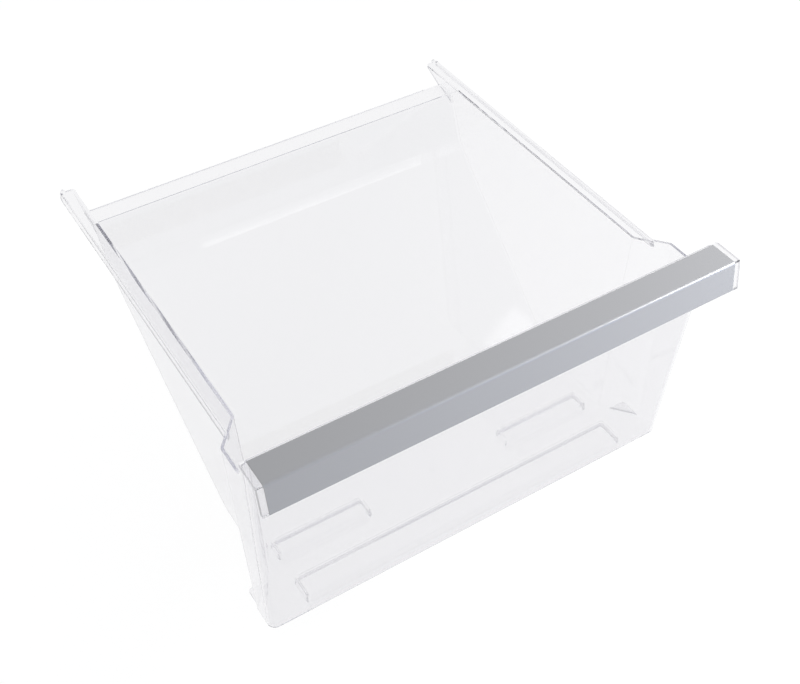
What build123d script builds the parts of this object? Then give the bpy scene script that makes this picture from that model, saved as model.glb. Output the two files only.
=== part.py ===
"""Clear fridge deli drawer: a moulded tub with a sloped back, rails and a finger hood, and its grey trim."""
import os
from math import cos, radians, sin, tan

from build123d import *

# Millimetres and degrees. Depths run back from the foot of the trim, heights run up from the underside.
# Each radius is that of the tighter side of the wall, and the other side is wider by the wall.
WALL = 2.4
WIDTH = 430.0
HEIGHT = 241.0

# Hood along the top of the front, which hangs over the front wall as a finger pull
HOOD_DEPTH = 31.0
HOOD_END_OVERHANG = 2.9
HOOD_EDGE_RADIUS = 2.5
LIP_HEIGHT = 27.2
LIP_LEAN = 8.0

# Trim let into the hood's top and lip, inside a clear border
TRIM_THICKNESS = 1.6
TRIM_END_BORDER = 5.0
TRIM_BACK_BORDER = 1.0
TRIM_GAP = 0.1

# Front wall, which leans forward as it rises to the hood
FRONT_SETBACK = 4.0
FRONT_LEAN = 4.75
FRONT_CORNER_RADIUS = 5.6
FOOT_RADIUS = 1.6

# Plan: a wide front, the flare, that steps in through angled cheeks to a narrower body
FLARE_LENGTH = 26.3
FLARE_DRAFT = 1.55
FLARE_STEP = 24.1
FLARE_RADIUS = 3.0
CHEEK_ANGLE = 40.0
BODY_DRAFT = 2.6

# Back in profile: a long slope off a short floor, a slight bend and a steep upper wall
FLOOR_LENGTH = 137.0
FLOOR_BACK_RADIUS = 12.0
SLOPE_ANGLE = 40.6
CREASE_HEIGHT = 147.3
CREASE_RADIUS = 3.0
BEND_ANGLE = 52.0
BEND_HEIGHT = 9.0
BEND_RADIUS = 14.0
UPPER_WALL_ANGLE = 67.0

# Rim: side walls that dip behind the hood, and a flat rim along the back, lower again
RIM_DROP = 31.0
RISER_RUN = 15.5
RISER_RADIUS = 8.5
BACK_RIM_DROP = 10.0
BACK_RIM_WIDTH = 18.0
BACK_RIM_RADIUS = 1.6
BACK_RIM_LAP = 9.0

# Side rails: inverted channels that run past the back rim as prongs, each with a stop pip
RAIL_WIDTH = 10.5
RAIL_SKIRT = 7.0
RAIL_SKIRT_LEAN = 8.0
RAIL_EDGE_RADIUS = 0.8
PRONG_LENGTH = 25.0
PRONG_CORNER_RADIUS = 3.0
PIP_RADIUS = 2.2
PIP_INSET = 3.0
PIP_OVERHANG = 1.5
PIP_RISE = 3.6

# Floor: a raised band behind the front wall, two raised pads, all hollow below, and a gate mark
PAD_HEIGHT = 10.0
PAD_DRAFT = 8.0
PAD_CORNER_RADIUS = 2.0
PAD_EDGE_RADIUS = 1.5
PAD_MARGIN = 14.0
BAND_SETBACK = 7.4
BAND_LENGTH = 28.6
PAD_SETBACK = 58.0
PAD_LENGTH = 22.0
PAD_SPACING = 146.0
GATE_SETBACK = 75.0
GATE_RADIUS = 2.5
GATE_RISE = 0.4

# Corner tabs at floor level, behind each flare
TAB_INSET = 2.2
TAB_LENGTH = 20.5
TAB_RADIUS = 2.5


def lean(angle, height):
    """Travel of a face that leans by an angle from the vertical over a height."""
    return height * tan(radians(angle))


# Places that follow from the sizes above
SIDES = {"left": -1, "right": 1}
SPAN = 2 * (WIDTH + HEIGHT)
FRONT_FOOT_DEPTH = HOOD_DEPTH - FRONT_SETBACK + lean(FRONT_LEAN, HEIGHT)
FLARE_DEPTH = FRONT_FOOT_DEPTH + FLARE_LENGTH
FLARE_FOOT_HALF = WIDTH / 2 - HOOD_END_OVERHANG - lean(FLARE_DRAFT, HEIGHT)
BODY_FOOT_HALF = FLARE_FOOT_HALF - FLARE_STEP
FLOOR_BACK_DEPTH = FRONT_FOOT_DEPTH + FLOOR_LENGTH
RIM_HEIGHT = HEIGHT - RIM_DROP
BACK_RIM_HEIGHT = RIM_HEIGHT - BACK_RIM_DROP


def wall_plane(origin, direction, tip):
    """Outer plane of a wall, from a point, its outward direction in plan and how far that tips down."""
    across, along = direction
    level = cos(radians(tip))
    return Plane(origin=origin, z_dir=(across * level, along * level, -sin(radians(tip))))


def tub_planes():
    """Every outer plane of the tub by name."""
    crease_depth = FLOOR_BACK_DEPTH + lean(90 - SLOPE_ANGLE, CREASE_HEIGHT)
    bend_depth = crease_depth + lean(90 - BEND_ANGLE, BEND_HEIGHT)
    planes = {
        "floor": Plane(origin=(0, 0, 0), z_dir=(0, 0, -1)),
        "front": wall_plane((0, FRONT_FOOT_DEPTH, 0), (0, -1), FRONT_LEAN),
        "slope": wall_plane((0, FLOOR_BACK_DEPTH, 0), (0, 1), 90 - SLOPE_ANGLE),
        "bend": wall_plane((0, crease_depth, CREASE_HEIGHT), (0, 1), 90 - BEND_ANGLE),
        "upper": wall_plane((0, bend_depth, CREASE_HEIGHT + BEND_HEIGHT), (0, 1), 90 - UPPER_WALL_ANGLE),
    }
    turn = radians(CHEEK_ANGLE)
    for side, sign in SIDES.items():
        corner = (sign * FLARE_FOOT_HALF, FLARE_DEPTH, 0)
        planes["body " + side] = wall_plane((sign * BODY_FOOT_HALF, 0, 0), (sign, 0), BODY_DRAFT)
        planes["flare " + side] = wall_plane(corner, (sign, 0), FLARE_DRAFT)
        planes["cheek " + side] = wall_plane(corner, (sign * cos(turn), sin(turn)), FLARE_DRAFT)
    return planes


PLANES = tub_planes()


def depth_of(name, height, inset=0.0):
    """Depth of a back or front plane at a height, moved in by an inset."""
    plane = PLANES[name].offset(-inset)
    normal = plane.z_dir
    return plane.origin.Y - (height - plane.origin.Z) * normal.Z / normal.Y


BODY_RIM_HALF = BODY_FOOT_HALF + lean(BODY_DRAFT, RIM_HEIGHT)
RAIL_HALF = BODY_RIM_HALF + RAIL_WIDTH
BACK_RIM_DEPTH = depth_of("upper", BACK_RIM_HEIGHT) + BACK_RIM_WIDTH
RAIL_BACK_DEPTH = BACK_RIM_DEPTH + PRONG_LENGTH


def both(kind):
    """Names of a left and right pair of planes."""
    return [f"{kind} {side}" for side in SIDES]


def cut_to(form, names, inset):
    """Part of a form on the inner side of the named planes, each moved in by an inset."""
    for name in names:
        form = split(form, bisect_by=PLANES[name].offset(-inset), keep=Keep.BOTTOM)
    return form


def block():
    """Room larger than the drawer in every direction."""
    return Box(SPAN, SPAN, SPAN)


def seam(form, one, two, inset):
    """Edges of a form where two named planes meet."""
    pair = [PLANES[name].offset(-inset) for name in (one, two)]

    def lies_on_both(edge):
        points = [edge @ 0, edge @ 0.5, edge @ 1]
        return all(abs(plane.to_local_coords(point).Z) < 0.01 for plane in pair for point in points)

    return form.edges().filter_by(lies_on_both)


def foot_edges(form):
    """Chain of edges between the walls and the floor, slope and upper back."""
    steepest = -(sin(radians(FRONT_LEAN)) + cos(radians(UPPER_WALL_ANGLE))) / 2
    under = [face for face in form.faces() if face.normal_at(face.center()).Z < steepest]
    edges = [edge for face in under for edge in face.edges()]
    ceiling = form.bounding_box().max.Z
    return [edge for edge in edges if edges.count(edge) == 1 and edge.center().Z < ceiling - WALL]


def tub_form(inset):
    """Solid form of the tub, drawn in by an inset with its radii to match."""
    front = cut_to(block(), ["floor", "front"] + both("flare") + both("cheek"), inset)
    body = cut_to(block(), ["floor", "front"] + both("body"), inset)
    form = cut_to(front + body, ["slope", "bend", "upper"], inset)
    outward = WALL - inset
    seams = [("floor", "slope", FLOOR_BACK_RADIUS + outward), ("slope", "bend", CREASE_RADIUS + outward),
             ("bend", "upper", BEND_RADIUS + outward)]
    for side in SIDES:
        seams.append(("flare " + side, "front", FRONT_CORNER_RADIUS + outward))
        seams.append(("flare " + side, "cheek " + side, FLARE_RADIUS + outward))
        seams.append(("cheek " + side, "body " + side, FLARE_RADIUS + inset))
    for one, two, radius in seams:
        form = fillet(seam(form, one, two, inset), radius)
    return fillet(foot_edges(form), FOOT_RADIUS + outward)


def across(outline, half):
    """Prism of a depth and height outline, as wide as twice a half width."""
    return extrude(Plane.YZ * outline, half, both=True)


def corner_near(face, depth, height):
    """Vertex of an outline nearest to a depth and a height."""
    return face.vertices().sort_by_distance((depth, height, 0))[0]


def on_both_sides(form):
    """A form on the right together with its mirror on the left."""
    return form + mirror(form, about=Plane.YZ)


def above_rim():
    """Air over the side walls, which rise in a curve to the hood."""
    wall_top = HEIGHT - TRIM_THICKNESS - WALL / 2
    riser_foot = HOOD_DEPTH + RISER_RUN
    outline = make_face(Polyline((-SPAN, wall_top), (HOOD_DEPTH, wall_top), (riser_foot, RIM_HEIGHT),
                                 (SPAN, RIM_HEIGHT), (SPAN, SPAN), (-SPAN, SPAN), close=True))
    outline = fillet(corner_near(outline, riser_foot, RIM_HEIGHT), RISER_RADIUS)
    return across(outline, SPAN)


def above_back_rim():
    """Air between the rear webs, over the back rim."""
    room = cut_to(block(), both("body"), WALL)
    low = BACK_RIM_HEIGHT - BACK_RIM_LAP
    outline = make_face(Polyline((FLOOR_BACK_DEPTH, low), (SPAN, low), (SPAN, SPAN),
                                 (FLOOR_BACK_DEPTH, SPAN), close=True))
    return room & across(outline, SPAN)


def back_rim():
    """Top of the back wall, turned out into a flat rim."""
    low = BACK_RIM_HEIGHT - BACK_RIM_LAP
    under = BACK_RIM_HEIGHT - WALL
    inner = depth_of("upper", BACK_RIM_HEIGHT, WALL)
    outer = depth_of("upper", under)
    outline = make_face(Polyline((depth_of("upper", low, WALL), low), (inner, BACK_RIM_HEIGHT),
                                 (BACK_RIM_DEPTH, BACK_RIM_HEIGHT), (BACK_RIM_DEPTH, under),
                                 (outer, under), (depth_of("upper", low), low), close=True))
    outline = fillet(corner_near(outline, inner, BACK_RIM_HEIGHT), BACK_RIM_RADIUS + WALL)
    outline = fillet(corner_near(outline, outer, under), BACK_RIM_RADIUS)
    return cut_to(across(outline, SPAN), both("body"), WALL / 2)


def rear_webs():
    """Side walls carried on past the back wall, with slanted ends under the prongs."""
    under = BACK_RIM_HEIGHT - BACK_RIM_LAP
    start = depth_of("upper", under, WALL)
    end = RAIL_BACK_DEPTH - PRONG_CORNER_RADIUS
    outline = make_face(Polyline((start, under), (depth_of("upper", under), under),
                                 (BACK_RIM_DEPTH, BACK_RIM_HEIGHT - WALL), (end, RIM_HEIGHT - WALL),
                                 (end, RIM_HEIGHT), (start, RIM_HEIGHT), close=True))
    plates = across(outline, SPAN)
    return cut_to(plates, both("body"), 0) - cut_to(plates, both("body"), WALL)


def pip():
    """Round stop that stands on the end of a prong."""
    post = Cylinder(PIP_RADIUS, WALL + PIP_RISE, align=(Align.CENTER, Align.CENTER, Align.MIN))
    return fillet(post.edges().group_by(Axis.Z)[-1], PIP_RADIUS / 2)


def rail():
    """Right rail: a flange off the wall with an outer skirt, and a stop pip at its rear end."""
    root = BODY_RIM_HALF - WALL
    under = RIM_HEIGHT - WALL
    foot = RIM_HEIGHT - RAIL_SKIRT
    flare = lean(RAIL_SKIRT_LEAN, RAIL_SKIRT)
    section = make_face(Polyline((root, RIM_HEIGHT), (RAIL_HALF, RIM_HEIGHT), (RAIL_HALF + flare, foot),
                                 (RAIL_HALF + flare - WALL, foot),
                                 (RAIL_HALF - WALL + lean(RAIL_SKIRT_LEAN, WALL), under), (root, under),
                                 close=True))
    section = fillet(corner_near(section, RAIL_HALF, RIM_HEIGHT), RAIL_EDGE_RADIUS)
    bar = Pos(0, RAIL_BACK_DEPTH, 0) * extrude(Plane.XZ * section, RAIL_BACK_DEPTH - FLARE_DEPTH)
    end = bar.faces().sort_by(Axis.Y)[-1].edges()
    inner_corner = end.filter_by(Axis.Z).sort_by(Axis.X)[0]
    skirt_corner = end.filter_by(Axis.X).sort_by(Axis.Z)[0]
    bar = fillet([inner_corner, skirt_corner], PRONG_CORNER_RADIUS)
    return bar + Pos(RAIL_HALF - PIP_INSET, RAIL_BACK_DEPTH + PIP_OVERHANG, under) * pip()


def corner_tab():
    """Right tab: a flat plate at floor level in the angle behind the flare."""
    half = FLARE_FOOT_HALF - TAB_INSET
    back = FLARE_DEPTH + TAB_LENGTH
    plate = Rectangle(half - BODY_FOOT_HALF + WALL, TAB_LENGTH, align=(Align.MAX, Align.MAX))
    plate = fillet(plate.vertices().sort_by(Axis.X)[-2:].sort_by(Axis.Y)[-1], TAB_RADIUS)
    return extrude(Pos(half, back, 0) * plate, WALL)


def ell(back_depth, thickness):
    """L outline of the hood or the trim: a top leaf and a leaning front leaf."""
    foot = HEIGHT - LIP_HEIGHT
    ledge = HEIGHT - thickness
    slant = thickness / cos(radians(LIP_LEAN))
    nose = lean(LIP_LEAN, LIP_HEIGHT)
    elbow = lean(LIP_LEAN, ledge - foot) + slant
    outline = make_face(Polyline((back_depth, HEIGHT), (nose, HEIGHT), (0, foot), (slant, foot),
                                 (elbow, ledge), (back_depth, ledge), close=True))
    return fillet(corner_near(outline, nose, HEIGHT), HOOD_EDGE_RADIUS)


def trim(gap):
    """Trim as a solid, or with a gap at its back and ends the recess that takes it."""
    outline = ell(HOOD_DEPTH - TRIM_BACK_BORDER - TRIM_GAP + gap, TRIM_THICKNESS)
    return across(outline, WIDTH / 2 - TRIM_END_BORDER - TRIM_GAP + gap)


def hood():
    """Finger hood in front of the front wall's top, with a recess for the trim."""
    return across(ell(HOOD_DEPTH, TRIM_THICKNESS + WALL), WIDTH / 2) - trim(TRIM_GAP)


def raised(width, length, inset):
    """Raised block of floor with drafted sides, drawn in and down by an inset."""
    outline = Rectangle(width - 2 * inset, length - 2 * inset)
    form = extrude(outline, PAD_HEIGHT - inset, taper=PAD_DRAFT)
    form = fillet(form.edges().filter_by(Plane.XY, reverse=True), PAD_CORNER_RADIUS + WALL - inset)
    return fillet(form.faces().sort_by(Axis.Z)[-1].edges(), PAD_EDGE_RADIUS)


def floor_pads(inset):
    """The band behind the front wall and the two pads, or with an inset their hollows."""
    half = BODY_FOOT_HALF - PAD_MARGIN
    pad_width = half - PAD_SPACING / 2
    band_depth = FRONT_FOOT_DEPTH + BAND_SETBACK + BAND_LENGTH / 2
    pad_depth = FRONT_FOOT_DEPTH + PAD_SETBACK + PAD_LENGTH / 2
    band = Pos(0, band_depth, 0) * raised(2 * half, BAND_LENGTH, inset)
    pad = Pos(half - pad_width / 2, pad_depth, 0) * raised(pad_width, PAD_LENGTH, inset)
    return band + on_both_sides(pad)


def gate_mark():
    """Round witness of the moulding gate on the inside of the floor."""
    disc = Cylinder(GATE_RADIUS, WALL / 2 + GATE_RISE, align=(Align.CENTER, Align.CENTER, Align.MIN))
    return Pos(0, FRONT_FOOT_DEPTH + GATE_SETBACK, WALL / 2) * disc


def drawer_tub():
    """Clear tub in one moulding."""
    shell = tub_form(0) + on_both_sides(rail()) + on_both_sides(corner_tab())
    shell = shell - tub_form(WALL) - above_rim() - above_back_rim()
    shell = shell + back_rim() + rear_webs() + hood()
    return shell + floor_pads(0) - floor_pads(WALL) + gate_mark()


def handle_trim():
    """Grey trim in the hood's recess."""
    return trim(0)


total_depth = RAIL_BACK_DEPTH + PIP_OVERHANG + PIP_RADIUS
os.makedirs("parts", exist_ok=True)
for name, form in {"drawer_tub": drawer_tub(), "handle_trim": handle_trim()}.items():
    export_step(Pos(0, -total_depth / 2, 0) * form, f"parts/{name}.step")
    print(name, len(form.solids()), form.is_valid, round(form.volume), form.bounding_box())
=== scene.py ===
"""Looks of a clear fridge deli drawer: its moulded tub, its grey trim and a plain pale studio."""
from math import cos, pi, radians, sin
from typing import NamedTuple

import bmesh
import bpy
from bpy.props import FloatProperty, FloatVectorProperty, PointerProperty
from mathutils import Matrix, Vector


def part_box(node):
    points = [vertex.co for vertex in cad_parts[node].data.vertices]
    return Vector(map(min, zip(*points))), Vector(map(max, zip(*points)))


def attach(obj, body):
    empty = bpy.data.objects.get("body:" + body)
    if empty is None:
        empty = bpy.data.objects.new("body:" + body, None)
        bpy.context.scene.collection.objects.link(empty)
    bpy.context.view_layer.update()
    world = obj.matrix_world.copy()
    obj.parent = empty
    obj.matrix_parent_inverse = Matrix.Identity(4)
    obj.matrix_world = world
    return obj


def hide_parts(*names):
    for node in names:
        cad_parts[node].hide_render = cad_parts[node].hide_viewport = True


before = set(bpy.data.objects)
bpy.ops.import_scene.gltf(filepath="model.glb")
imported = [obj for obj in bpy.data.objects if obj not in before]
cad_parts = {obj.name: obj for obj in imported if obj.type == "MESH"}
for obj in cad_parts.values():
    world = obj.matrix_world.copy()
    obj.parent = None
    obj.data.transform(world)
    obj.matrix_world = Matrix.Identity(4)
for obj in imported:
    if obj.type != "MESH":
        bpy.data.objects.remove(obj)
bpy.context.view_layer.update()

bl_info = {
    "name": "Fridge deli drawer",
    "version": (1, 0, 0),
    "blender": (4, 5, 0),
    "location": "View3D > Sidebar > Drawer",
    "description": "Dresses a clear deli drawer and its grey trim, and sets them in a pale studio",
    "category": "Object",
}

BODY = "root"
TRIM_LOW, TRIM_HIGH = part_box("handle_trim")
MERGE_DISTANCE = 2e-6
SMOOTH_ANGLE = radians(35)
BOX_SLACK = 1e-5
FLAT_FACE_WEIGHT = 100
TRIM_SIZES = ("Length", "Top depth", "Lip height", "Thickness", "Lip lean", "Nose radius")
NOSE_SEGMENTS = 8
EDGE_SEGMENTS = 3
RIPPLE_DETAIL = 1.5
GRAIN_DETAIL = 2
FLOOR_REACH = 3.0
FLOOR_DROP = 0.0002
LIGHT_BOUNCES = 128


class SoftLight(NamedTuple):
    """Place of a soft rectangular light, what it faces, its size and the one piece that it shines on."""

    place: tuple
    target: tuple
    size: tuple
    shines_on: str
    turn: float = 0.0
    colour: tuple = (1.0, 1.0, 1.0)


SOFT_LIGHTS = {
    "window": SoftLight((0.683, -0.7275, 0.82), (0.2405, -0.12, 0.162), (0.095, 0.06), "clear_tub"),
    "strip": SoftLight((0.5012, -0.8475, 0.8324), (0.0587, -0.24, 0.1744), (0.566, 0.018), "clear_tub",
                       turn=radians(-20.5)),
    "sky": SoftLight((0.7, -1.1, 0.22), (0, -0.2, 0.2), (0.96, 0.48), "grey_trim", colour=(0.25, 0.7, 1.8)),
    "glint": SoftLight((0.62, -1.05, 0.9), (0.05, -0.2, 0.23), (0.75, 0.2), "grey_trim"),
    "lamp": SoftLight((0.95, -0.6, 0.65), (0, -0.2, 0.2), (0.8, 0.8), "grey_trim"),
}


class TubLooks(bpy.types.PropertyGroup):
    """Clear plastic of the tub."""

    ior: FloatProperty(
        name="Bending of light", description="Index of refraction of the clear plastic",
        default=1.53, min=1.0)
    roughness: FloatProperty(
        name="Haze", description="Roughness of the polished surface", subtype="FACTOR",
        default=0.04, min=0, max=1)
    clarity: FloatVectorProperty(
        name="Clarity", description="Share of each colour that one wall lets through", subtype="COLOR",
        size=3, default=(0.907, 0.905, 0.917), min=0, max=1)
    tint: FloatVectorProperty(
        name="Tint", description="Colour that long ways through the plastic take on", subtype="COLOR",
        size=3, default=(0.60, 0.58, 0.83), min=0, max=1)
    density: FloatProperty(
        name="Tint depth", description="How fast the tint builds up, per metre of plastic",
        default=0.6, min=0)
    ripple_size: FloatProperty(
        name="Ripple length", description="Width of the shallow waves that moulding leaves",
        subtype="DISTANCE",
        unit="LENGTH", default=0.045, min=0.001)
    ripple_height: FloatProperty(
        name="Ripple height", description="Height of those waves", subtype="DISTANCE", unit="LENGTH",
        default=0.000012, min=0)


class TrimLooks(bpy.types.PropertyGroup):
    """Shape and finish of the grey trim."""

    thickness: FloatProperty(
        name="Thickness", description="Thickness of the strip", subtype="DISTANCE", unit="LENGTH",
        default=0.0015)
    lip_lean: FloatProperty(
        name="Lean of the lip", description="How far the front leaf leans from the vertical",
        subtype="ANGLE",
        unit="ROTATION", default=radians(8))
    nose_radius: FloatProperty(
        name="Nose radius", description="Radius of the long edge between top and front", subtype="DISTANCE",
        unit="LENGTH", default=0.0025)
    edge_radius: FloatProperty(
        name="Edge radius", description="Radius of the strip's other edges", subtype="DISTANCE",
        unit="LENGTH", default=0.0003)
    colour: FloatVectorProperty(
        name="Colour", description="Colour of the satin grey finish", subtype="COLOR", size=3,
        default=(0.236, 0.237, 0.244), min=0, max=1)
    roughness: FloatProperty(
        name="Roughness", description="Roughness of the satin finish", subtype="FACTOR",
        default=0.26, min=0, max=1)
    grain_size: FloatProperty(
        name="Grain size", description="Size of the finish's fine grain", subtype="DISTANCE", unit="LENGTH",
        default=0.0006, min=0.0001)
    grain_depth: FloatProperty(
        name="Grain depth", description="Depth of the finish's fine grain",
        subtype="DISTANCE", unit="LENGTH",
        default=0.00005, min=0)
    grain_strength: FloatProperty(
        name="Grain strength", description="How much of the grain shows in the sheen", subtype="FACTOR",
        default=0.15, min=0, max=1)
    sheen: FloatProperty(
        name="Sheen", description="Strength of the light that the finish mirrors", subtype="FACTOR",
        default=0.75, min=0, max=1)


class StudioLooks(bpy.types.PropertyGroup):
    """Floor, light and camera."""

    floor_glow: FloatProperty(
        name="Floor glow", description="Light of the lit table under the middle of the drawer",
        default=0.965, min=0)
    # Painted light and shade: the lean makes the table's glow brighter towards the lamp at the front right
    # and dimmer to the back and left, where the lamp's light would fall off.
    floor_painted_light_lean: FloatVectorProperty(
        name="Floor lean",
        description="How much brighter the table gets per metre to the right and to the back",
        size=3, default=(0.09, -0.1, 0))
    floor_least: FloatProperty(
        name="Least floor glow", description="Light of the table where it is dimmest", default=0.95, min=0)
    floor_most: FloatProperty(
        name="Most floor glow", description="Light of the table where it is brightest", default=1.12, min=0)
    floor_shade: FloatProperty(
        name="Floor shade", description="Share of the room's light that the table gives back", default=0.08,
        subtype="FACTOR", min=0, max=1)
    dim_side: FloatVectorProperty(
        name="Dim side", description="Light of the room's dim side, in front", subtype="COLOR", size=3,
        default=(0.42, 0.445, 0.49), min=0)
    bright_side: FloatVectorProperty(
        name="Bright side", description="Light of the room's bright side, behind", subtype="COLOR", size=3,
        default=(1, 1, 1), min=0)
    bright_way: FloatVectorProperty(
        name="Bright way", description="Direction of the room's bright side", subtype="DIRECTION", size=3,
        default=(0.3, 0.95, 0))
    window_light: FloatProperty(
        name="Window", description="Brightness of the small window in front on the right",
        default=1.15, min=0)
    strip_light: FloatProperty(
        name="Strip", description="Brightness of the narrow strip of light beside the window",
        default=1.4, min=0)
    sky_light: FloatProperty(
        name="Sky", description="Brightness of the low cool light that only the trim gets",
        default=1.0, min=0)
    glint_light: FloatProperty(
        name="Glint", description="Brightness of the light mirrored along the trim's nose",
        default=4.0, min=0)
    lamp_light: FloatProperty(
        name="Lamp",
        description="Brightness of the soft lamp on the right that only the trim gets", default=16.0,
        min=0)
    camera_place: FloatVectorProperty(
        name="Camera place", description="Where the camera stands", subtype="XYZ", unit="LENGTH", size=3,
        default=(-0.3918, -0.6951, 0.8774))
    azimuth: FloatProperty(
        name="Azimuth", description="Turn of the camera round the drawer", subtype="ANGLE", unit="ROTATION",
        default=radians(-30.92))
    elevation: FloatProperty(
        name="Elevation", description="How far the camera looks down", subtype="ANGLE", unit="ROTATION",
        default=radians(44.67))
    roll: FloatProperty(
        name="Roll", description="Turn of the camera about its own line of sight", subtype="ANGLE",
        unit="ROTATION", default=radians(-1.25))
    focal_length: FloatProperty(
        name="Focal length", description="Focal length on a 36 mm wide sensor", unit="CAMERA",
        default=54.73)


def new_material(name):
    """An empty node material with its output and the place where a shader goes."""
    material = bpy.data.materials.new(name)
    material.use_nodes = True
    nodes = material.node_tree.nodes
    nodes.clear()
    output = nodes.new("ShaderNodeOutputMaterial")
    return material, nodes, material.node_tree.links, output


def noise(nodes, links, scale, detail):
    """Noise on the piece's own coordinates, by the size of its features in metres."""
    place = nodes.new("ShaderNodeTexCoord")
    field = nodes.new("ShaderNodeTexNoise")
    field.inputs["Scale"].default_value = 1 / scale
    field.inputs["Detail"].default_value = detail
    links.new(place.outputs["Object"], field.inputs["Vector"])
    return field


def clear_plastic(looks):
    """Clear moulded plastic: glass-like, tinted in long ways through it, with shallow flow ripples."""
    material, nodes, links, output = new_material("clear_plastic")
    shader = nodes.new("ShaderNodeBsdfPrincipled")
    shader.inputs["Base Color"].default_value = (*looks.clarity, 1)
    shader.inputs["Transmission Weight"].default_value = 1
    shader.inputs["IOR"].default_value = looks.ior
    shader.inputs["Roughness"].default_value = looks.roughness
    ripples = noise(nodes, links, looks.ripple_size, RIPPLE_DETAIL)
    bump = nodes.new("ShaderNodeBump")
    bump.inputs["Distance"].default_value = looks.ripple_height
    links.new(ripples.outputs["Fac"], bump.inputs["Height"])
    links.new(bump.outputs["Normal"], shader.inputs["Normal"])
    tint = nodes.new("ShaderNodeVolumeAbsorption")
    tint.inputs["Color"].default_value = (*looks.tint, 1)
    tint.inputs["Density"].default_value = looks.density
    links.new(shader.outputs["BSDF"], output.inputs["Surface"])
    links.new(tint.outputs["Volume"], output.inputs["Volume"])
    return material


def satin_grey(looks):
    """Satin grey finish of the trim, with a fine grain in its sheen."""
    material, nodes, links, output = new_material("satin_grey")
    shader = nodes.new("ShaderNodeBsdfPrincipled")
    shader.inputs["Base Color"].default_value = (*looks.colour, 1)
    shader.inputs["Roughness"].default_value = looks.roughness
    shader.inputs["Specular IOR Level"].default_value = looks.sheen
    grain = noise(nodes, links, looks.grain_size, GRAIN_DETAIL)
    bump = nodes.new("ShaderNodeBump")
    bump.inputs["Strength"].default_value = looks.grain_strength
    bump.inputs["Distance"].default_value = looks.grain_depth
    links.new(grain.outputs["Fac"], bump.inputs["Height"])
    links.new(bump.outputs["Normal"], shader.inputs["Normal"])
    links.new(shader.outputs["BSDF"], output.inputs["Surface"])
    return material


def along(nodes, links, coordinates, direction):
    """How far the coordinates lie along a direction, times its length."""
    place = nodes.new("ShaderNodeTexCoord")
    reach = nodes.new("ShaderNodeVectorMath")
    reach.operation = "DOT_PRODUCT"
    reach.inputs[1].default_value = direction
    links.new(place.outputs[coordinates], reach.inputs[0])
    return reach.outputs["Value"]


def table_with_painted_light(looks):
    """White table top that glows and shows no seam; the rise of its glow towards the lamp is painted light
    and shade, brighter at the front right and dimmer to the back and left.
    """
    material, nodes, links, output = new_material("table_with_painted_light")
    shader = nodes.new("ShaderNodeBsdfPrincipled")
    shader.inputs["Base Color"].default_value = (*[looks.floor_shade] * 3, 1)
    shader.inputs["Roughness"].default_value = 1
    shader.inputs["Specular IOR Level"].default_value = 0
    shader.inputs["Emission Color"].default_value = (1, 1, 1, 1)
    # Painted light: the glow grows along the lean towards the lamp, held between the least and most glow.
    glow = nodes.new("ShaderNodeMapRange")
    glow.inputs["From Min"].default_value = looks.floor_least - looks.floor_glow
    glow.inputs["From Max"].default_value = looks.floor_most - looks.floor_glow
    glow.inputs["To Min"].default_value = looks.floor_least
    glow.inputs["To Max"].default_value = looks.floor_most
    links.new(along(nodes, links, "Object", looks.floor_painted_light_lean), glow.inputs["Value"])
    links.new(glow.outputs["Result"], shader.inputs["Emission Strength"])
    links.new(shader.outputs["BSDF"], output.inputs["Surface"])
    return material


def by_identifier(sockets):
    """A node's sockets by identifier, for a node that has several of one name."""
    return {socket.identifier: socket for socket in sockets}


def pale_room(looks):
    """World that is brighter on one side than on the other."""
    world = bpy.data.worlds.new("pale_room")
    world.use_nodes = True
    nodes, links = world.node_tree.nodes, world.node_tree.links
    blend = nodes.new("ShaderNodeMapRange")
    blend.interpolation_type = "SMOOTHSTEP"
    blend.inputs["From Min"].default_value = -1
    links.new(along(nodes, links, "Generated", looks.bright_way), blend.inputs["Value"])
    colour = nodes.new("ShaderNodeMix")
    colour.data_type = "RGBA"
    ends = by_identifier(colour.inputs)
    ends["A_Color"].default_value = (*looks.dim_side, 1)
    ends["B_Color"].default_value = (*looks.bright_side, 1)
    links.new(blend.outputs["Result"], ends["Factor_Float"])
    links.new(by_identifier(colour.outputs)["Result_Color"], nodes["Background"].inputs["Color"])
    return world


def add_object(name, data):
    """A new object of the scene at the origin."""
    piece = bpy.data.objects.new(name, data)
    bpy.context.scene.collection.objects.link(piece)
    return piece


def write_smooth(form, mesh):
    """Writes a form to a mesh: smooth, with sharp edges where faces turn by more than the smoothing angle."""
    for face in form.faces:
        face.smooth = True
    for edge in form.edges:
        edge.smooth = edge.calc_face_angle(pi) < SMOOTH_ANGLE
    form.to_mesh(mesh)
    form.free()


def as_plain_mesh(piece, name):
    """Puts the result of a piece's modifiers in its place as a plain mesh."""
    evaluated = piece.evaluated_get(bpy.context.evaluated_depsgraph_get())
    mesh = bpy.data.meshes.new_from_object(evaluated)
    mesh.name = name
    piece.modifiers.clear()
    piece.data = mesh
    return piece


def flat_faces_stay_flat(piece):
    """Weighs the normals by area, so that only the rounds between flat faces look curved."""
    weighted = piece.modifiers.new("flat faces stay flat", "WEIGHTED_NORMAL")
    weighted.keep_sharp = True
    weighted.weight = FLAT_FACE_WEIGHT
    return as_plain_mesh(piece, piece.name)


def keep_inside(piece, low, high):
    """Raises an error where a piece leaves a box."""
    for vertex in piece.data.vertices:
        for place, least, most in zip(vertex.co, low, high):
            if not least - BOX_SLACK <= place <= most + BOX_SLACK:
                raise RuntimeError(f"{piece.name} leaves its box at {tuple(vertex.co)}")


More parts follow.
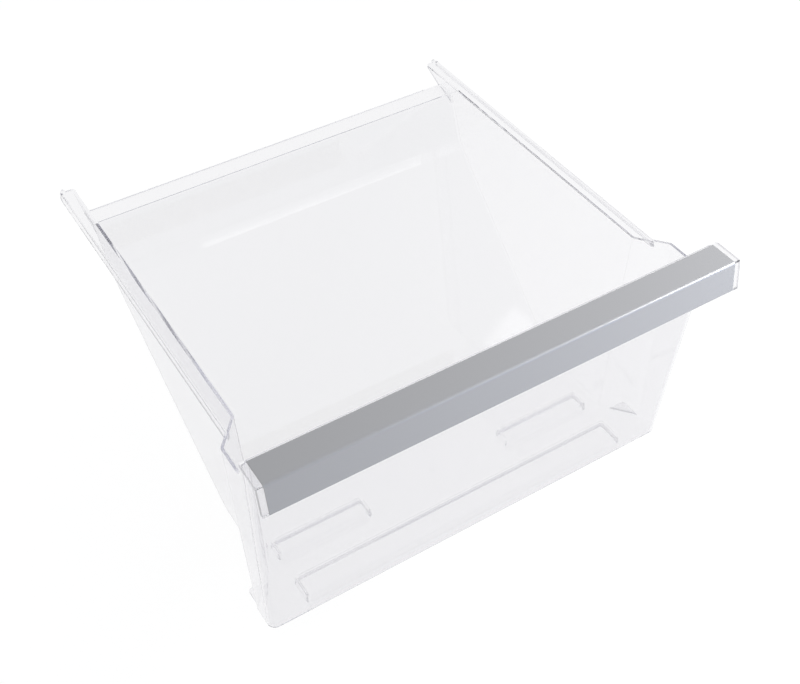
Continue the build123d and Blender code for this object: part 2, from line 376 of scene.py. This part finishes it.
def merged_copy(node, name):
    """One closed mesh from the loose triangles of a node, with flat faces flat and rounds smooth."""
    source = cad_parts[node].data
    mesh = bpy.data.meshes.new(name)
    mesh.from_pydata([point.co for point in source.vertices], [], [face.vertices for face in source.polygons])
    form = bmesh.new()
    form.from_mesh(mesh)
    bmesh.ops.remove_doubles(form, verts=form.verts, dist=MERGE_DISTANCE)
    open_edges = [edge for edge in form.edges if not edge.is_manifold]
    if open_edges:
        raise RuntimeError(f"{node} has {len(open_edges)} open edges")
    write_smooth(form, mesh)
    return flat_faces_stay_flat(add_object(name, mesh))


class DRAWER_OT_tub(bpy.types.Operator):
    """Makes the clear tub as one smooth moulding"""

    bl_idname = "drawer.make_tub"
    bl_label = "Make the tub"

    def execute(self, context):
        piece = merged_copy("drawer_tub", "clear_tub")
        piece.data.materials.append(clear_plastic(context.scene.drawer_tub))
        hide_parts("drawer_tub")
        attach(piece, BODY)
        return {"FINISHED"}


def trim_tree():
    """Node tree of the trim: an L section with a rounded nose, drawn along the drawer's width."""
    tree = bpy.data.node_groups.new("trim_strip", "GeometryNodeTree")
    tree.interface.new_socket("Geometry", in_out="OUTPUT", socket_type="NodeSocketGeometry")
    for name in TRIM_SIZES:
        tree.interface.new_socket(name, in_out="INPUT", socket_type="NodeSocketFloat")
    tree.interface.new_socket("Nose segments", in_out="INPUT", socket_type="NodeSocketInt")
    tree.interface.new_socket("Finish", in_out="INPUT", socket_type="NodeSocketMaterial")
    nodes, links = tree.nodes, tree.links
    sizes = nodes.new("NodeGroupInput").outputs

    def feed(sockets, values):
        for socket, value in zip(sockets, values):
            if isinstance(value, bpy.types.NodeSocket):
                links.new(value, socket)
            else:
                socket.default_value = value

    def math(operation, *values):
        node = nodes.new("ShaderNodeMath")
        node.operation = operation
        feed(node.inputs, values)
        return node.outputs[0]

    def switch(kind, values):
        node = nodes.new("GeometryNodeIndexSwitch")
        node.data_type = kind
        while len(node.index_switch_items) < len(values):
            node.index_switch_items.new()
        links.new(nodes.new("GeometryNodeInputIndex").outputs["Index"], node.inputs["Index"])
        feed(list(node.inputs)[1:], values)
        return node.outputs[0]

    def point(depth, height):
        node = nodes.new("ShaderNodeCombineXYZ")
        feed(node.inputs, (math("MULTIPLY", depth, -1.0), math("MULTIPLY", height, -1.0), 0.0))
        return node.outputs[0]

    rise = sizes["Lip height"]
    ledge = math("SUBTRACT", rise, sizes["Thickness"])
    slope = math("TANGENT", sizes["Lip lean"])
    slant = math("DIVIDE", sizes["Thickness"], math("COSINE", sizes["Lip lean"]))
    elbow = math("MULTIPLY_ADD", slope, ledge, slant)
    corners = [
        point(sizes["Top depth"], rise),
        point(math("MULTIPLY", slope, rise), rise),
        point(0.0, 0.0),
        point(slant, 0.0),
        point(elbow, ledge),
        point(sizes["Top depth"], ledge),
    ]
    nose = 1
    radii = [sizes["Nose radius"] if corner == nose else 0.0 for corner in range(len(corners))]

    line = nodes.new("GeometryNodeMeshLine")
    line.inputs["Count"].default_value = len(corners)
    outline = nodes.new("GeometryNodeMeshToCurve")
    links.new(line.outputs["Mesh"], outline.inputs["Mesh"])
    placed = nodes.new("GeometryNodeSetPosition")
    links.new(outline.outputs["Curve"], placed.inputs["Geometry"])
    links.new(switch("VECTOR", corners), placed.inputs["Position"])
    closed = nodes.new("GeometryNodeSetSplineCyclic")
    closed.inputs["Cyclic"].default_value = True
    links.new(placed.outputs["Geometry"], closed.inputs["Geometry"])
    section = nodes.new("GeometryNodeFilletCurve")
    section.mode = "POLY"
    links.new(closed.outputs["Geometry"], section.inputs["Curve"])
    links.new(switch("FLOAT", radii), section.inputs["Radius"])
    links.new(sizes["Nose segments"], section.inputs["Count"])

    path = nodes.new("GeometryNodeCurvePrimitiveLine")
    path.mode = "DIRECTION"
    path.inputs["Start"].default_value = (0, 0, 0)
    path.inputs["Direction"].default_value = (1, 0, 0)
    links.new(sizes["Length"], path.inputs["Length"])
    strip = nodes.new("GeometryNodeCurveToMesh")
    strip.inputs["Fill Caps"].default_value = True
    links.new(path.outputs["Curve"], strip.inputs["Curve"])
    links.new(section.outputs["Curve"], strip.inputs["Profile Curve"])
    real = nodes.new("GeometryNodeRealizeInstances")
    links.new(strip.outputs["Mesh"], real.inputs["Geometry"])
    finish = nodes.new("GeometryNodeSetMaterial")
    links.new(real.outputs["Geometry"], finish.inputs["Geometry"])
    links.new(sizes["Finish"], finish.inputs["Material"])
    links.new(finish.outputs["Geometry"], nodes.new("NodeGroupOutput").inputs["Geometry"])
    return tree


def socket_ids(tree):
    """Identifiers of a tree's inputs by name."""
    inputs = [item for item in tree.interface.items_tree if item.in_out == "INPUT"]
    return {item.name: item.identifier for item in inputs}


class DRAWER_OT_trim(bpy.types.Operator):
    """Draws the grey trim along the hood and gives it its satin finish"""

    bl_idname = "drawer.make_trim"
    bl_label = "Make the trim"

    def execute(self, context):
        looks = context.scene.drawer_trim
        span = TRIM_HIGH - TRIM_LOW
        tree = trim_tree()
        values = {
            "Length": span.x,
            "Top depth": span.y,
            "Lip height": span.z,
            "Thickness": looks.thickness,
            "Lip lean": looks.lip_lean,
            "Nose radius": looks.nose_radius,
            "Nose segments": NOSE_SEGMENTS,
            "Finish": satin_grey(looks),
        }
        piece = add_object("grey_trim", bpy.data.meshes.new("grey_trim"))
        drawn = piece.modifiers.new("strip", "NODES")
        drawn.node_group = tree
        for name, identifier in socket_ids(tree).items():
            drawn[identifier] = values[name]
        edges = piece.modifiers.new("edges", "BEVEL")
        edges.width = looks.edge_radius
        edges.segments = EDGE_SEGMENTS
        edges.limit_method = "ANGLE"
        edges.angle_limit = SMOOTH_ANGLE
        as_plain_mesh(piece, "grey_trim")
        piece.data.transform(Matrix.Translation(TRIM_LOW))
        form = bmesh.new()
        form.from_mesh(piece.data)
        write_smooth(form, piece.data)
        flat_faces_stay_flat(piece)
        keep_inside(piece, TRIM_LOW, TRIM_HIGH)
        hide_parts("handle_trim")
        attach(piece, BODY)
        return {"FINISHED"}


def camera_turn(azimuth, elevation, roll):
    """Turn of a camera that looks at the drawer from an azimuth and an elevation."""
    back = Vector((sin(azimuth) * cos(elevation), -cos(azimuth) * cos(elevation), sin(elevation)))
    right = Vector((cos(azimuth), sin(azimuth), 0))
    up = back.cross(right)
    level = Matrix((right, up, back)).transposed()
    return level @ Matrix.Rotation(roll, 3, "Z")


def soft_light(name, form, brightness):
    """Soft rectangular light for one piece, by the brightness of its face."""
    lamp = bpy.data.lights.new(name, "AREA")
    lamp.shape = "RECTANGLE"
    lamp.size, lamp.size_y = form.size
    lamp.energy = brightness * pi * form.size[0] * form.size[1]
    lamp.color = form.colour
    light = add_object(name, lamp)
    light.visible_camera = False
    away = Vector(form.place) - Vector(form.target)
    facing = away.to_track_quat("Z", "Y").to_matrix().to_4x4() @ Matrix.Rotation(form.turn, 4, "Z")
    light.matrix_world = Matrix.Translation(form.place) @ facing
    receivers = bpy.data.collections.new(f"{name} shines on")
    receivers.objects.link(bpy.data.objects[form.shines_on])
    light.light_linking.receiver_collection = receivers


class DRAWER_OT_studio(bpy.types.Operator):
    """Makes the pale floor, the light and the camera"""

    bl_idname = "drawer.make_studio"
    bl_label = "Make the studio"

    def execute(self, context):
        looks = context.scene.drawer_studio
        mesh = bpy.data.meshes.new("floor")
        corners = [(-1, -1, 0), (1, -1, 0), (1, 1, 0), (-1, 1, 0)]
        mesh.from_pydata([Vector(corner) * FLOOR_REACH for corner in corners], [], [(0, 1, 2, 3)])
        mesh.transform(Matrix.Translation((0, 0, -FLOOR_DROP)))
        mesh.materials.append(table_with_painted_light(looks))
        add_object("floor", mesh)

        context.scene.world = pale_room(looks)
        for name, form in SOFT_LIGHTS.items():
            soft_light(name, form, getattr(looks, f"{name}_light"))

        lens = bpy.data.cameras.new("camera")
        lens.lens = looks.focal_length
        camera = add_object("camera", lens)
        turn = camera_turn(looks.azimuth, looks.elevation, looks.roll)
        camera.matrix_world = Matrix.Translation(looks.camera_place) @ turn.to_4x4()
        context.scene.camera = camera
        context.scene.view_settings.view_transform = "Standard"
        context.scene.cycles.max_bounces = LIGHT_BOUNCES
        context.scene.cycles.transmission_bounces = LIGHT_BOUNCES
        context.scene.cycles.glossy_bounces = LIGHT_BOUNCES
        return {"FINISHED"}


class DRAWER_PT_panel(bpy.types.Panel):
    """The drawer's pieces, its studio and their sizes and colours"""

    bl_idname = "DRAWER_PT_panel"
    bl_label = "Deli drawer"
    bl_space_type = "VIEW_3D"
    bl_region_type = "UI"
    bl_category = "Drawer"

    def draw(self, context):
        for group, operator in SECTIONS.items():
            box = self.layout.box()
            box.operator(operator)
            looks = getattr(context.scene, group)
            for name in looks.__annotations__:
                box.prop(looks, name)


SECTIONS = {
    "drawer_tub": DRAWER_OT_tub.bl_idname,
    "drawer_trim": DRAWER_OT_trim.bl_idname,
    "drawer_studio": DRAWER_OT_studio.bl_idname,
}
GROUPS = {"drawer_tub": TubLooks, "drawer_trim": TrimLooks, "drawer_studio": StudioLooks}
CLASSES = (TubLooks, TrimLooks, StudioLooks, DRAWER_OT_tub, DRAWER_OT_trim, DRAWER_OT_studio, DRAWER_PT_panel)


def register():
    for kind in CLASSES:
        bpy.utils.register_class(kind)
    for name, group in GROUPS.items():
        setattr(bpy.types.Scene, name, PointerProperty(type=group))


def unregister():
    for name in GROUPS:
        delattr(bpy.types.Scene, name)
    for kind in reversed(CLASSES):
        bpy.utils.unregister_class(kind)


def main():
    register()
    bpy.ops.drawer.make_tub()
    bpy.ops.drawer.make_trim()
    bpy.ops.drawer.make_studio()


if __name__ == "__main__":
    main()
